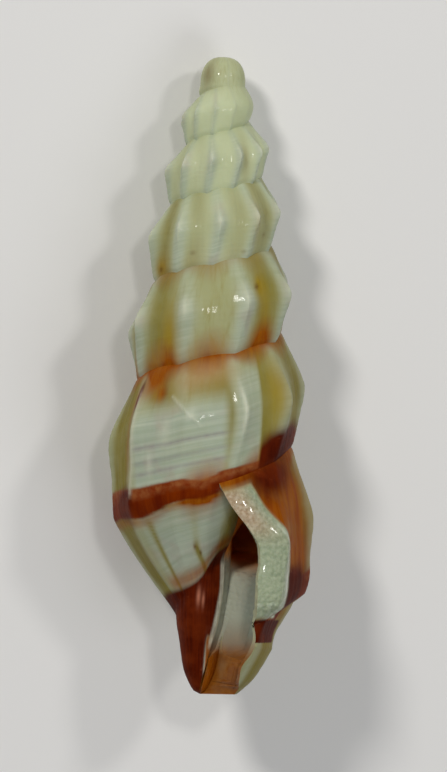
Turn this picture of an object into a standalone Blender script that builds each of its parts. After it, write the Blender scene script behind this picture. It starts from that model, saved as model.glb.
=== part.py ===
"""A small turreted sea snail shell with folded ribs, lying on its back with its aperture up.

The shell is built about its own coiling axis. A place on it is given by its turn and its depth.
The turn counts revolutions of growth and is 0 where the last suture crosses the front.
The depth is measured along the axis from the apex. Lengths are in millimetres until the last step.
"""

import math

import bmesh
import bpy
import numpy as np
from mathutils import Matrix

MM = 0.001
WELD = 2e-4

# Coiling
LENGTH = 7.48
GROWTH = 0.2428
COIL_SIZE = 6.461
COIL_SHIFT = 1.552
APEX_DEPTH = 0.12
APEX_PITCH = 0.10
SUTURE_RADIUS = 0.999
SUTURE_RADIUS_STEP = 0.1596
SHOULDER_RADIUS = 1.328
SHOULDER_RADIUS_STEP = 0.1852
APEX_RADIUS = 0.262
APEX_BLUNTNESS = 0.8
END_DROP = 0.12
END_DROP_FROM = -0.22
APEX_TURN = -6.05
APEX_SOFTNESS = 0.03
LEAST_BULGE = 0.03
BULGE_SOFTNESS = 0.02

# Whorl profile and ribs
SHOULDER_AT = 0.49
LAST_SHOULDER_AT = 0.45
LAST_SHOULDER_FROM = -1.5
LAST_SHOULDER_TO = -0.3
CREST_SHARPNESS = 0.16
VALLEY_SHARPNESS = 0.5
VALLEY_SHARE = 0.5
RIB_WIDTH = 0.21
RIB_ROUNDNESS = 1.35
RIB_FADE_START = -5.35
RIB_FADE_END = -4.7
SUTURE_WAVE = 0.02
WORN_RIB_TURN = -0.959
WORN_RIB_LOSS = 0.5
WORN_RIB_WIDTH = 0.04
RIB_LEAN_TOP = 0.022
RIB_LEAN_BASE = 0.034
RIB_LEAN_REACH = 0.9
RIB_LEAN_TOP_BEND = 1.5
RIB_LEAN_BASE_BEND = 1.2
RIBS_FROM_LIP = (
    (-5.25, 50.0),
    (-4.79, 45.0),
    (-4.25, 39.0),
    (-4.07, 37.0),
    (-3.785, 34.0),
    (-3.208, 28.0),
    (-2.797, 24.0),
    (-2.194, 19.0),
    (-1.821, 16.0),
    (-1.265, 11.0),
    (-1.062, 9.0),
    (-0.754, 6.0),
    (-0.245, 1.0),
    (-0.132, 0.0),
    (0.0, -1.17),
)

# Base, neck and canal
BASE_FOLDS = 0.26
BASE_FOLDS_REACH = 0.8
BASE_FOLDS_FADE = 0.8
SWELL_START = -0.60
SWELL_FULL = -0.30
BASE_PINCH = 0.11
SWELL_PROFILE = (
    (0.00, 0.000),
    (0.35, 0.010),
    (0.55, 0.045),
    (0.70, 0.090),
    (0.85, 0.130),
    (0.93, 0.120),
    (1.00, 0.000),
)
CONE_LENGTH = 1.08
CONE_BEND = 1.15
NECK_PROFILE = (
    (4.60, 0.330),
    (6.40, 0.295),
    (6.62, 0.286),
    (6.85, 0.243),
    (7.18, 0.183),
    (7.38, 0.094),
    (7.47, 0.030),
)
CANAL_PROFILE = (
    (4.60, 1.250),
    (6.30, 1.150),
    (6.62, 1.117),
    (6.85, 1.045),
    (7.00, 0.970),
    (7.15, 0.878),
    (7.30, 0.770),
    (7.40, 0.650),
    (7.47, 0.560),
)
CANAL_SWING_FROM = -0.70
CANAL_SWING_END = 0.02
CANAL_SWING_BEND = 1.6
JOIN_SOFTNESS = 0.035
LAST_WHORL_JOIN = 0.1

# Aperture
LIP_TURN = -0.022
LIP_SWEEP = (
    (5.00, 0.000),
    (5.25, -0.020),
    (5.58, -0.057),
    (5.73, -0.068),
    (5.90, -0.069),
    (6.10, -0.064),
    (6.35, -0.064),
    (6.55, -0.069),
    (6.80, -0.080),
    (6.95, -0.078),
    (7.13, -0.067),
    (7.30, -0.078),
    (7.42, -0.115),
    (7.50, -0.125),
)
LIP_PASSES = 12
VARIX_TOP = 0.15
VARIX_BACK = 0.030
VARIX_WIDTH = 0.026
VARIX_HEIGHT = 0.055
VARIX_END = 6.50
VARIX_END_SOFTNESS = 0.10
INNER_LIP = (
    (5.20, -0.080),
    (5.90, -0.120),
    (6.20, -0.125),
    (6.50, -0.105),
    (6.82, -0.078),
    (7.08, -0.056),
    (7.31, -0.015),
    (7.60, 0.040),
)
PARIETAL_OVERLAP = -0.14
PARIETAL_REACH = 0.3
WALL = 0.13
LIP_WALL = 0.060
LIP_WALL_BACK = -0.08
CALLUS = 0.030
MOUTH_START = 0.014
MOUTH_TOP_GAP = 0.36
MOUTH_FOOT = 7.6
CAVITY_TURNS = 0.85
CAVITY_TOP_GAP = 0.20
CAVITY_FOOT = 0.30
NARROW_FROM = -0.05
NARROW_TO = -0.55
FLOOR_ROUNDING = 0.35
FLOOR_ROUNDING_FROM = -0.02
FLOOR_ROUNDING_TO = -0.06
FLOOR_ROUNDING_START = 0.72
CANAL_FLOOR = (
    (-0.30, 5.80),
    (-0.20, 5.92),
    (-0.13, 6.05),
    (-0.095, 6.20),
    (-0.078, 6.50),
    (-0.070, 6.85),
    (-0.062, 7.15),
    (-0.050, 7.40),
    (-0.030, 7.56),
    (0.020, 7.60),
)

# Rest on the back
REST_ROLL = -10.628
REST_PITCH = -7.903
FLAT_DEPTH = 0.055

# Mesh resolution
TURN_STEPS = 72
WHORL_ROWS = 6
DOME_ROWS = 4
BASE_ROWS = 14
FIRST_WHORL = -6
CAVITY_STEPS = 26
CAVITY_ROWS = 12
CAVITY_SPACING = 1.5

# Look
SHELL_COLOUR = (0.62, 0.55, 0.36)
SHELL_ROUGHNESS = 0.3
SHARP_ANGLE = 55.0


def smooth_curve(points, where):
    """A smooth curve through (x, y) points that never overshoots them, read at each value of where."""
    x, y = np.array(points).T
    step = np.diff(x)
    slope = np.diff(y) / step
    tangent = np.zeros_like(x)
    rising = slope[:-1] * slope[1:] > 0
    with np.errstate(divide="ignore", invalid="ignore"):
        harmonic = 2 * slope[:-1] * slope[1:] / (slope[:-1] + slope[1:])
    tangent[1:-1] = np.where(rising, harmonic, 0)
    tangent[0], tangent[-1] = slope[0], slope[-1]
    where = np.asarray(where, float)
    i = np.clip(np.searchsorted(x, where) - 1, 0, len(x) - 2)
    u = np.clip((where - x[i]) / step[i], 0, 1)
    ends = y[i] * (1 + 2 * u) * (1 - u) ** 2 + y[i + 1] * (3 - 2 * u) * u**2
    return ends + step[i] * (tangent[i] * u * (1 - u) ** 2 - tangent[i + 1] * u**2 * (1 - u))


def smooth_step(low, high, value):
    u = np.clip((value - low) / (high - low), 0, 1)
    return u * u * (3 - 2 * u)


def soft_max(a, b, softness):
    return softness * np.logaddexp(a / softness, b / softness)


def suture_depth(turn):
    coil = COIL_SIZE * np.exp(GROWTH * turn) - COIL_SHIFT
    cap = APEX_DEPTH + APEX_PITCH * (turn - APEX_TURN)
    return soft_max(coil, cap, APEX_SOFTNESS) + END_DROP * smooth_step(END_DROP_FROM, 0.0, turn)


def suture_radius(turn):
    return soft_max(SUTURE_RADIUS + SUTURE_RADIUS_STEP * turn, APEX_RADIUS, APEX_SOFTNESS)


def bulge(turn):
    """How far the shoulder of a rib stands out from the line between the sutures."""
    middle = suture_radius(turn + SHOULDER_AT)
    shoulder = SHOULDER_RADIUS + SHOULDER_RADIUS_STEP * turn
    return soft_max(shoulder - middle, LEAST_BULGE, BULGE_SOFTNESS)


def peak(place, centre, sharpness):
    """1 at the shoulder and 0 at both sutures, with a rounded corner."""
    x = np.where(place < centre, (place - centre) / centre, (place - centre) / (1 - centre))
    x = np.clip(x, -1, 1)
    top = math.hypot(1, sharpness)
    return (top - np.hypot(x, sharpness)) / (top - sharpness)


def rib(turn, place):
    """1 on a rib's crest and near 0 between ribs. The crests bow back at the shoulder."""
    lean = RIB_LEAN_TOP * np.clip((SHOULDER_AT - place) / SHOULDER_AT, 0, 1) ** RIB_LEAN_TOP_BEND
    below = np.clip((place - SHOULDER_AT) / RIB_LEAN_REACH, 0, 1)
    lean = lean + RIB_LEAN_BASE * below**RIB_LEAN_BASE_BEND
    count = smooth_curve(RIBS_FROM_LIP, turn - lean)
    away = np.abs(count - np.round(count))
    fold = np.exp(-((away / RIB_WIDTH) ** RIB_ROUNDNESS))
    worn = 1 - WORN_RIB_LOSS * np.exp(-(((turn - WORN_RIB_TURN) / WORN_RIB_WIDTH) ** 2))
    return fold * worn * smooth_step(RIB_FADE_START, RIB_FADE_END, turn)


def varix(turn, depth):
    """The thickened band behind the outer lip's edge, from the suture down to its blunt lower end."""
    behind = lip_turn(depth) - turn
    across = np.abs(behind - VARIX_BACK) / VARIX_WIDTH
    band = np.exp(-(across**3))
    length = 1 - smooth_step(VARIX_END - VARIX_END_SOFTNESS, VARIX_END, depth)
    return VARIX_HEIGHT * band * length


def foot_radius(turn):
    """Radius at the lower suture of a whorl. The last half turn is pinched in above the canal."""
    return suture_radius(turn + 1) - BASE_PINCH * smooth_step(SWELL_START, SWELL_FULL, turn)


def whorl_radius(turn, place, last):
    """Radius of a whorl at a place from 0, at its upper suture, to 1, at its lower one."""
    place = np.clip(place, 0, 1)
    last_shoulder = smooth_step(LAST_SHOULDER_FROM, LAST_SHOULDER_TO, turn)
    centre = SHOULDER_AT + (LAST_SHOULDER_AT - SHOULDER_AT) * last_shoulder
    upper = suture_radius(turn) + SUTURE_WAVE * rib(turn - 1, 1.0 + 0 * turn)
    lower = foot_radius(turn) + SUTURE_WAVE * rib(turn, 1.0 + 0 * turn) * (1 - last)
    line = upper + (lower - upper) * place
    share = 1 - (1 - VALLEY_SHARE) * smooth_step(RIB_FADE_START, RIB_FADE_END, turn)
    valley = peak(place, centre, VALLEY_SHARPNESS) * share
    crest = peak(place, centre, CREST_SHARPNESS) - valley
    crest = np.where(place > centre, np.maximum(crest, BASE_FOLDS * last), crest)
    depth = suture_depth(turn) + (suture_depth(turn + 1) - suture_depth(turn)) * place
    folds = bulge(turn) * (valley + crest * rib(turn, place))
    swell = smooth_curve(SWELL_PROFILE, place) * smooth_step(SWELL_START, SWELL_FULL, turn)
    return line + folds + swell + varix(turn, depth) * smooth_step(0, VARIX_TOP, place)


def base_radius(turn, depth, last):
    """Radius below the last whorl's lower suture line: a cone that runs into the neck and the canal."""
    start = suture_depth(turn + 1)
    along = np.clip((depth - start) / CONE_LENGTH, 0, 1)
    neck = smooth_curve(NECK_PROFILE, depth)
    canal = smooth_curve(CANAL_PROFILE, depth)
    swing = smooth_step(CANAL_SWING_FROM, LIP_TURN - CANAL_SWING_END, turn) ** CANAL_SWING_BEND
    wide = foot_radius(turn)
    cone = neck + (wide - neck) * (1 - along**CONE_BEND)
    place = 1 + along * BASE_FOLDS_REACH
    folds = BASE_FOLDS * bulge(turn) * rib(turn, place) * (1 - along) ** BASE_FOLDS_FADE * last
    low = neck + (np.minimum(canal, wide) - neck) * swing
    return soft_max(cone, low, JOIN_SOFTNESS) + folds + varix(turn, depth)


def last_weight(turn):
    """0 where the last whorl starts under the lip's end, 1 a little further on."""
    return smooth_step(LIP_TURN - 1, LIP_TURN - 1 + LAST_WHORL_JOIN, turn)


def surface_radius(turn, depth):
    """Radius of the shell's outside at a turn and depth on the last whorl."""
    top = suture_depth(turn)
    place = (depth - top) / (suture_depth(turn + 1) - top)
    last = last_weight(turn)
    return np.where(place <= 1, whorl_radius(turn, place, last), base_radius(turn, depth, last))


def lip_turn(depth):
    return LIP_TURN + smooth_curve(LIP_SWEEP, depth)


def point(turn, depth, radius):
    """A point in the shell's own frame: x to the right, y away from the viewer, z up to the apex."""
    angle = 2 * np.pi * turn
    return np.stack([-radius * np.sin(angle), -radius * np.cos(angle), -depth + 0 * turn], axis=-1)


def lip_end(share, below):
    """The turn where a row meets the lip's edge, at a share of the whorl's height or of the base."""
    turn = LIP_TURN
    for _ in range(LIP_PASSES):
        foot = suture_depth(turn + 1)
        top = suture_depth(turn)
        depth = foot + (LENGTH - foot) * share if below else top + (foot - top) * share
        turn = float(lip_turn(depth))
    return turn


def outer_mesh():
    """Vertices and faces of the solid outside, with the aperture still filled by a plain wall."""
    share = np.linspace(0, 1, TURN_STEPS + 1)
    vertices = []
    faces = []

    def add(points):
        first = sum(len(v) for v in vertices)
        vertices.append(points)
        return np.arange(first, first + len(points))

    rows = []
    first_turn = LIP_TURN + FIRST_WHORL + share
    ring_depth = suture_depth(first_turn[0] + 1)
    ring_radius = suture_radius(first_turn[0] + 1)
    apex = add(point(np.zeros(1), np.zeros(1), np.zeros(1)))[0]
    for k in range(1, DOME_ROWS):
        climb = k / DOME_ROWS * math.pi / 2
        depth = ring_depth * (1 - math.cos(climb) ** APEX_BLUNTNESS) + 0 * share
        rows.append(add(point(first_turn, depth, ring_radius * math.sin(climb) ** APEX_BLUNTNESS)))
    for whorl in range(FIRST_WHORL, 0):
        for k in range(WHORL_ROWS):
            place = k / WHORL_ROWS
            turn = LIP_TURN + whorl + share
            if whorl == -1:
                turn = turn[0] + share * (lip_end(place, False) - turn[0])
            top = suture_depth(turn) if whorl > FIRST_WHORL else ring_depth
            depth = top + (suture_depth(turn + 1) - top) * place
            radius = whorl_radius(turn, place + 0 * turn, last_weight(turn))
            if whorl == FIRST_WHORL:
                plain = ring_radius + (suture_radius(turn + 1) - ring_radius) * place
                radius = plain + (radius - plain) * smooth_step(0, 1, share)
            rows.append(add(point(turn, depth, radius)))
    last_rows = len(rows) - WHORL_ROWS

    # Below the last suture line
    for k in range(BASE_ROWS):
        low = k / BASE_ROWS
        start_turn = LIP_TURN - 1 + PARIETAL_OVERLAP * smooth_step(0, PARIETAL_REACH, low)
        where = start_turn + share * (lip_end(low, True) - start_turn)
        depth = suture_depth(where + 1) * (1 - low) + LENGTH * low
        if k == 0:
            radius = whorl_radius(where, 1.0 + 0 * where, last_weight(where))
        else:
            radius = base_radius(where, depth, last_weight(where))
        rows.append(add(point(where, depth, radius)))
    foot = add(point(np.array([0.0]), np.array([LENGTH]), np.array([0.0])))[0]

    for j in range(TURN_STEPS):
        faces.append((apex, rows[0][j + 1], rows[0][j]))
        faces.append((foot, rows[-1][j], rows[-1][j + 1]))
    for above, below in zip(rows, rows[1:]):
        for j in range(TURN_STEPS):
            faces.append((above[j], above[j + 1], below[j + 1], below[j]))

    start_column = [row[0] for row in rows[-BASE_ROWS:]] + [foot]
    end_column = [row[-1] for row in rows[last_rows:]] + [foot]
    return np.concatenate(vertices), faces, start_column, end_column


def fill_mouth(start_column, end_column, vertices):
    """Triangles that close the gap between the inner lip's line and the outer lip's edge."""
    made = []
    i = j = 0
    while i < len(start_column) - 1 or j < len(end_column) - 1:
        next_i = vertices[start_column[min(i + 1, len(start_column) - 1)]][2]
        next_j = vertices[end_column[min(j + 1, len(end_column) - 1)]][2]
        step_i = i < len(start_column) - 1 and (j == len(end_column) - 1 or next_i > next_j)
        if step_i:
            made.append((start_column[i], start_column[i + 1], end_column[j]))
            i += 1
        else:
            made.append((start_column[i], end_column[j + 1], end_column[j]))
            j += 1
    return [t for t in made if len(set(t)) == 3]


def new_object(name, vertices, faces, collection):
    mesh = bpy.data.meshes.new(name)
    mesh.from_pydata(vertices.tolist(), [], [tuple(int(v) for v in f) for f in faces])
    made = bmesh.new()
    made.from_mesh(mesh)
    bmesh.ops.remove_doubles(made, verts=made.verts, dist=WELD)
    bmesh.ops.dissolve_degenerate(made, edges=made.edges, dist=WELD)
    bmesh.ops.recalc_face_normals(made, faces=made.faces)
    bmesh.ops.triangulate(made, faces=made.faces)
    made.to_mesh(mesh)
    made.free()
    found = bpy.data.objects.new(name, mesh)
    collection.objects.link(found)
    return found


def cavity_ring(back):
    """One slanted section of the hollow, this many turns behind the aperture's edge."""
    depth_share = np.linspace(0, 1, CAVITY_ROWS + 1)
    fade = smooth_step(NARROW_FROM, NARROW_TO, back)
    end = LIP_TURN + back
    top = suture_depth(end) + MOUTH_TOP_GAP + (CAVITY_TOP_GAP - MOUTH_TOP_GAP) * fade
    low = MOUTH_FOOT
    if back < 0:
        low = min(smooth_curve(CANAL_FLOOR, back), suture_depth(end + 1) + CAVITY_FOOT)
    depth = top + (low - top) * depth_share
    inner_turn = smooth_curve(INNER_LIP, depth) + back
    outer_turn = lip_turn(depth) + back
    sink = smooth_step(MOUTH_START, -MOUTH_START, back)
    inner = base_radius(inner_turn - 1, depth, 0.0) + CALLUS * (1 - 2 * sink) + 2 * CALLUS * fade
    thickness = LIP_WALL + (WALL - LIP_WALL) * smooth_step(0.0, LIP_WALL_BACK, back)
    outer = surface_radius(outer_turn, depth) - varix(outer_turn, depth) - thickness
    rounding = FLOOR_ROUNDING * smooth_step(FLOOR_ROUNDING_FROM, FLOOR_ROUNDING_TO, back)
    rounding = rounding * smooth_step(FLOOR_ROUNDING_START, 1.0, depth_share)
    outer = outer - (outer - inner) * rounding
    outer = np.maximum(outer, inner + CALLUS)
    left = point(inner_turn, depth, inner)
    right = point(outer_turn, depth, outer)
    return np.concatenate([left, right[::-1]])


def cavity_mesh():
    """The hollow: a slit-like tube that starts in front of the aperture and coils inward to a closed end."""
    rings = []
    for k in range(CAVITY_STEPS + 1):
        share = (k / CAVITY_STEPS) ** CAVITY_SPACING
        rings.append(cavity_ring(MOUTH_START - (CAVITY_TURNS + MOUTH_START) * share))
    count = len(rings[0])
    faces = []
    for k in range(CAVITY_STEPS):
        for j in range(count):
            across = (j + 1) % count
            faces.append((k * count + j, k * count + across, (k + 1) * count + across, (k + 1) * count + j))
    for first in (0, CAVITY_STEPS * count):
        for j in range(CAVITY_ROWS):
            faces.append((first + j, first + j + 1, first + count - 2 - j, first + count - 1 - j))
    return np.concatenate(rings), faces


def principled(name, colour, roughness):
    material = bpy.data.materials.new(name)
    material.use_nodes = True
    shader = material.node_tree.nodes["Principled BSDF"]
    shader.inputs["Base Color"].default_value = (*colour, 1)
    shader.inputs["Roughness"].default_value = roughness
    shader.inputs["Metallic"].default_value = 0
    return material


def clear_scene():
    for found in list(bpy.data.objects):
        bpy.data.objects.remove(found)


def apply_boolean(solid, cutter):
    cut = solid.modifiers.new("aperture", "BOOLEAN")
    cut.operation = "DIFFERENCE"
    cut.solver = "EXACT"
    cut.use_self = True
    cut.object = cutter
    graph = bpy.context.evaluated_depsgraph_get()
    mesh = bpy.data.meshes.new_from_object(solid.evaluated_get(graph))
    solid.modifiers.clear()
    solid.data = mesh


def lay_down(solid):
    """Turns the shell onto its back, cuts the flats it rests on and puts the origin under its middle."""
    lying = Matrix.Rotation(-math.pi / 2, 4, "X")
    roll = Matrix.Rotation(math.radians(REST_ROLL), 4, "Y")
    pitch = Matrix.Rotation(math.radians(REST_PITCH), 4, "X")
    solid.data.transform(pitch @ roll @ lying)
    made = bmesh.new()
    made.from_mesh(solid.data)
    floor = min(v.co.z for v in made.verts) + FLAT_DEPTH
    everything = made.verts[:] + made.edges[:] + made.faces[:]
    cut = bmesh.ops.bisect_plane(
        made, geom=everything, dist=WELD / 10, plane_co=(0, 0, floor), plane_no=(0, 0, 1), clear_inner=True
    )
    edges = [e for e in cut["geom_cut"] if isinstance(e, bmesh.types.BMEdge)]
    bmesh.ops.holes_fill(made, edges=edges, sides=0)
    bmesh.ops.triangulate(made, faces=made.faces)
    low = [min(v.co[axis] for v in made.verts) for axis in range(3)]
    high = [max(v.co[axis] for v in made.verts) for axis in range(3)]
    shift = Matrix.Translation((-(low[0] + high[0]) / 2, -(low[1] + high[1]) / 2, -floor))
    made.transform(shift)
    bmesh.ops.recalc_face_normals(made, faces=made.faces)
    made.to_mesh(solid.data)
    made.free()


def main():
    clear_scene()
    parts = bpy.data.collections.new("sea snail shell")
    cutters = bpy.data.collections.new("cutters")
    bpy.context.scene.collection.children.link(parts)
    bpy.context.scene.collection.children.link(cutters)

    vertices, faces, start_column, end_column = outer_mesh()
    faces += fill_mouth(start_column, end_column, vertices)
    shell = new_object("shell", vertices, faces, parts)
    shell.data.materials.append(principled("shell", SHELL_COLOUR, SHELL_ROUGHNESS))
    hollow = new_object("hollow", *cavity_mesh(), cutters)
    hollow.hide_render = True
    hollow.display_type = "WIRE"
    apply_boolean(shell, hollow)
    lay_down(shell)
    for found in (shell, hollow):
        found.data.transform(Matrix.Scale(MM, 4))
    shell.data.shade_smooth()
    shell.data.set_sharp_from_angle(angle=math.radians(SHARP_ANGLE))


main()
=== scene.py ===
"""Visual model of a small turreted sea snail shell that lies on its back with its aperture up.

A place on the shell is given by its turn and its depth. The turn counts revolutions of growth and is 0
where the last suture crosses the front. The depth is measured along the coiling axis from the apex.
Lengths are in millimetres until the last step. A place on a whorl runs from 0 at the upper suture to 1 at
the lower one and goes on past 1 over the base.
"""

import math

import bmesh
import bpy
import numpy as np
from mathutils import Matrix, Vector


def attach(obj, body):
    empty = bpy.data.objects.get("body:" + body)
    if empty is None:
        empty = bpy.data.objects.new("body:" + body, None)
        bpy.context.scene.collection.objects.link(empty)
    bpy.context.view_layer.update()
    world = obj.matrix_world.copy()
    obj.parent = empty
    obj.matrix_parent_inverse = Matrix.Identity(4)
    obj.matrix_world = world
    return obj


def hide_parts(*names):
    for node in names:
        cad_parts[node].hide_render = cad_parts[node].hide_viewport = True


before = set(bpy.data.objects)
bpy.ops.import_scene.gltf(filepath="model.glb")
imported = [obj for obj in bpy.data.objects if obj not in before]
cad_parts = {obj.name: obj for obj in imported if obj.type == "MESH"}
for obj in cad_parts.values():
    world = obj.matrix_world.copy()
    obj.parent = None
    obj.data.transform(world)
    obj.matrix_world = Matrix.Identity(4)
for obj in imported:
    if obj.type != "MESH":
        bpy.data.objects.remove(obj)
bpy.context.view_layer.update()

MM = 0.001
WELD = 0.0002

# Coiling
LENGTH = 7.48
GROWTH = 0.2428
COIL_SIZE = 6.461
COIL_SHIFT = 1.552
APEX_DEPTH = 0.12
APEX_PITCH = 0.10
SUTURE_RADIUS = 0.999
SUTURE_RADIUS_STEP = 0.1596
SHOULDER_RADIUS = 1.328
SHOULDER_RADIUS_STEP = 0.1852
APEX_RADIUS = 0.262
APEX_BLUNTNESS = 0.8
END_DROP = 0.12
END_DROP_FROM = -0.22
APEX_TURN = -6.05
APEX_SOFTNESS = 0.03
LEAST_BULGE = 0.03
BULGE_SOFTNESS = 0.02

# Whorl profile and ribs
SHOULDER_AT = 0.49
LAST_SHOULDER_AT = 0.45
LAST_SHOULDER_TURNS = (-1.5, -0.3)
CREST_SHARPNESS = 0.16
VALLEY_SHARPNESS = 0.5
VALLEY_SHARE = 0.5
RIB_WIDTH = 0.21
RIB_ROUNDNESS = 1.35
RIB_TURNS = (-5.35, -4.7)
SUTURE_WAVE = 0.02
WORN_RIB_TURN = -0.959
WORN_RIB_LOSS = 0.5
WORN_RIB_WIDTH = 0.04
RIB_LEAN_TOP = 0.022
RIB_LEAN_BASE = 0.034
RIB_LEAN_REACH = 0.9
RIB_LEAN_TOP_BEND = 1.5
RIB_LEAN_BASE_BEND = 1.2
RIBS_FROM_LIP = (
    (-5.25, 50.0), (-4.79, 45.0), (-4.25, 39.0), (-4.07, 37.0), (-3.785, 34.0),
    (-3.208, 28.0), (-2.797, 24.0), (-2.194, 19.0), (-1.821, 16.0), (-1.265, 11.0),
    (-1.062, 9.0), (-0.754, 6.0), (-0.245, 1.0), (-0.132, 0.0), (0.0, -1.17),
)

# Base, neck and canal
BASE_FOLDS = 0.26
BASE_FOLDS_REACH = 0.8
BASE_FOLDS_FADE = 0.8
SWELL_TURNS = (-0.60, -0.30)
BASE_PINCH = 0.11
SWELL_PROFILE = (
    (0.00, 0.000), (0.35, 0.010), (0.55, 0.045), (0.70, 0.090), (0.85, 0.130),
    (0.93, 0.120), (1.00, 0.000),
)
CONE_LENGTH = 1.08
CONE_BEND = 1.15
NECK_PROFILE = (
    (4.60, 0.330), (6.40, 0.295), (6.62, 0.286), (6.85, 0.243), (7.18, 0.183),
    (7.38, 0.094), (7.47, 0.030),
)
CANAL_PROFILE = (
    (4.60, 1.250), (6.30, 1.150), (6.62, 1.117), (6.85, 1.045), (7.00, 0.970),
    (7.15, 0.878), (7.30, 0.770), (7.40, 0.650), (7.47, 0.560),
)
CANAL_SWING_FROM = -0.70
CANAL_SWING_END = 0.02
CANAL_SWING_BEND = 1.6
JOIN_SOFTNESS = 0.035
LAST_WHORL_JOIN = 0.1

# Aperture
LIP_TURN = -0.022
LIP_SWEEP = (
    (5.00, 0.000), (5.25, -0.020), (5.58, -0.057), (5.73, -0.068), (5.90, -0.069),
    (6.10, -0.064), (6.35, -0.064), (6.55, -0.069), (6.80, -0.080), (6.95, -0.078),
    (7.13, -0.067), (7.30, -0.078), (7.42, -0.115), (7.50, -0.125),
)
LIP_PASSES = 12
VARIX_TOP = 0.15
VARIX_BACK = 0.030
VARIX_WIDTH = 0.026
VARIX_HEIGHT = 0.055
VARIX_END = 6.47
TOOTH_HEIGHT = 0.022
TOOTH_WIDTH = 0.016
VARIX_END_SOFTNESS = 0.06
INNER_LIP = (
    (5.20, -0.080), (5.90, -0.120), (6.20, -0.125), (6.50, -0.105), (6.82, -0.078),
    (7.08, -0.056), (7.31, -0.015), (7.60, 0.040),
)
PARIETAL_OVERLAP = -0.14
PARIETAL_REACH = 0.3
WALL = 0.13
LIP_WALL = 0.060
LIP_WALL_BACK = -0.08
CALLUS = 0.030
MOUTH_START = 0.014
MOUTH_TOP_GAP = 0.36
MOUTH_FOOT = 7.6
CAVITY_TURNS = 0.85
CAVITY_TOP_GAP = 0.20
CAVITY_FOOT = 0.30
NARROW_BACK = (-0.05, -0.55)
FLOOR_ROUNDING = 0.35
FLOOR_ROUNDING_BACK = (-0.02, -0.06)
FLOOR_ROUNDING_SHARE = (0.72, 1.0)
FLOOR_SAG = 0.03
FLOOR_SAG_BACK = (-0.01, -0.05)
CANAL_FLOOR = (
    (-0.30, 5.80), (-0.20, 5.92), (-0.13, 6.05), (-0.095, 6.20), (-0.078, 6.50),
    (-0.070, 6.85), (-0.062, 7.15), (-0.050, 7.40), (-0.030, 7.56), (0.020, 7.60),
)

# Rest on the back
REST_ROLL = -10.628
REST_PITCH = -7.903
REST_SHIFT = (-0.039175, 3.704478)
REST_FLOOR = -0.453753

# Mesh resolution
TURN_STEPS = 284
WHORL_ROWS = 36
DOME_ROWS = 8
BASE_ROWS = 54
FIRST_WHORL = -6
CAVITY_STEPS = 80
CAVITY_ROWS = 40
FLOOR_STEPS = 10

# Fine relief, in millimetres. A fade is two values, at which something is 0 and 1.
SUTURE_DIP = 0.035
SUTURE_DIP_LEVEL = 0.4
SUTURE_DIP_TURNS = (-0.15, -0.3)
GROOVE_DEPTH = 0.016
GROOVE_WIDTH = 0.030
FOOT_TURNS = (-0.98, -0.9)
RELIEF_TURNS = (-5.2, -3.0)
CORDS_PER_WHORL = 12.0
CORD_HEIGHT = 0.005
CORD_WIDTH = 0.2
CORD_START = (0.03, 0.1)
UPPER_CORDS = 0.35
LOWER_CORDS_FROM = (0.3, 0.5)
BASE_CORD_LOSS = 0.6
BASE_CORDS_FROM = (0.97, 1.1)
CORD_END = (0.075, 0.055)
CORD_END_TURNS = (-0.3, -0.2)
GROWTH_LINE_HEIGHT = 0.0022
GROWTH_LINES = ((0.40, 61, 3), (0.35, 97, -2), (0.25, 163, 5))
BASE_RELIEF = (1.0, 0.85)
SCAR_HEIGHT = 0.014
SCAR_WIDTH = 0.016
SCAR_RADIUS = 1.05
SCAR_WHORL = 1.45
SCAR = ((-0.926, 0.247), (-0.964, 0.429), (-0.984, 0.520))
KNOB_HEIGHT = 0.032
KNOB_AT = 0.43
KNOB_REACH = 0.17
KNOB_BEND = 1.3
KNOB_TURNS = (-1.15, -1.5)
SEAM_DEPTH = 0.009
SEAM_WIDTH = 0.0095
SEAM_END = (1.85, 1.70)
FIRST_SEAM = ((1.02, -0.972), (1.44, -0.974), (1.67, -1.008), (1.80, -1.020))
FIRST_SEAM_FROM = (1.04, 1.12)
FIRST_SEAM_FAINT = 0.35
FIRST_SEAM_STRONG = (1.34, 1.50)
SECOND_SEAM = -0.866
SECOND_SEAM_SHARE = 0.8
SECOND_SEAM_FROM = (1.08, 1.18)


def smooth_curve(points, where):
    """A smooth curve through (x, y) points that never overshoots them, read at each value of where."""
    x, y = np.array(points).T
    step = np.diff(x)
    slope = np.diff(y) / step
    tangent = np.zeros_like(x)
    rising = slope[:-1] * slope[1:] > 0
    with np.errstate(divide="ignore", invalid="ignore"):
        harmonic = 2 * slope[:-1] * slope[1:] / (slope[:-1] + slope[1:])
    tangent[1:-1] = np.where(rising, harmonic, 0)
    tangent[0], tangent[-1] = slope[0], slope[-1]
    where = np.asarray(where, float)
    i = np.clip(np.searchsorted(x, where) - 1, 0, len(x) - 2)
    u = np.clip((where - x[i]) / step[i], 0, 1)
    ends = y[i] * (1 + 2 * u) * (1 - u) ** 2 + y[i + 1] * (3 - 2 * u) * u**2
    return ends + step[i] * (tangent[i] * u * (1 - u) ** 2 - tangent[i + 1] * u**2 * (1 - u))


def smooth_step(low, high, value):
    u = np.clip((value - low) / (high - low), 0, 1)
    return u * u * (3 - 2 * u)


def fade(pair, value):
    return smooth_step(pair[0], pair[1], value)


def soft_max(a, b, softness):
    return softness * np.logaddexp(a / softness, b / softness)


def bell(value, centre, width):
    """1 at the centre, and less to both sides."""
    return np.exp(-(((value - centre) / width) ** 2))


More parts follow.
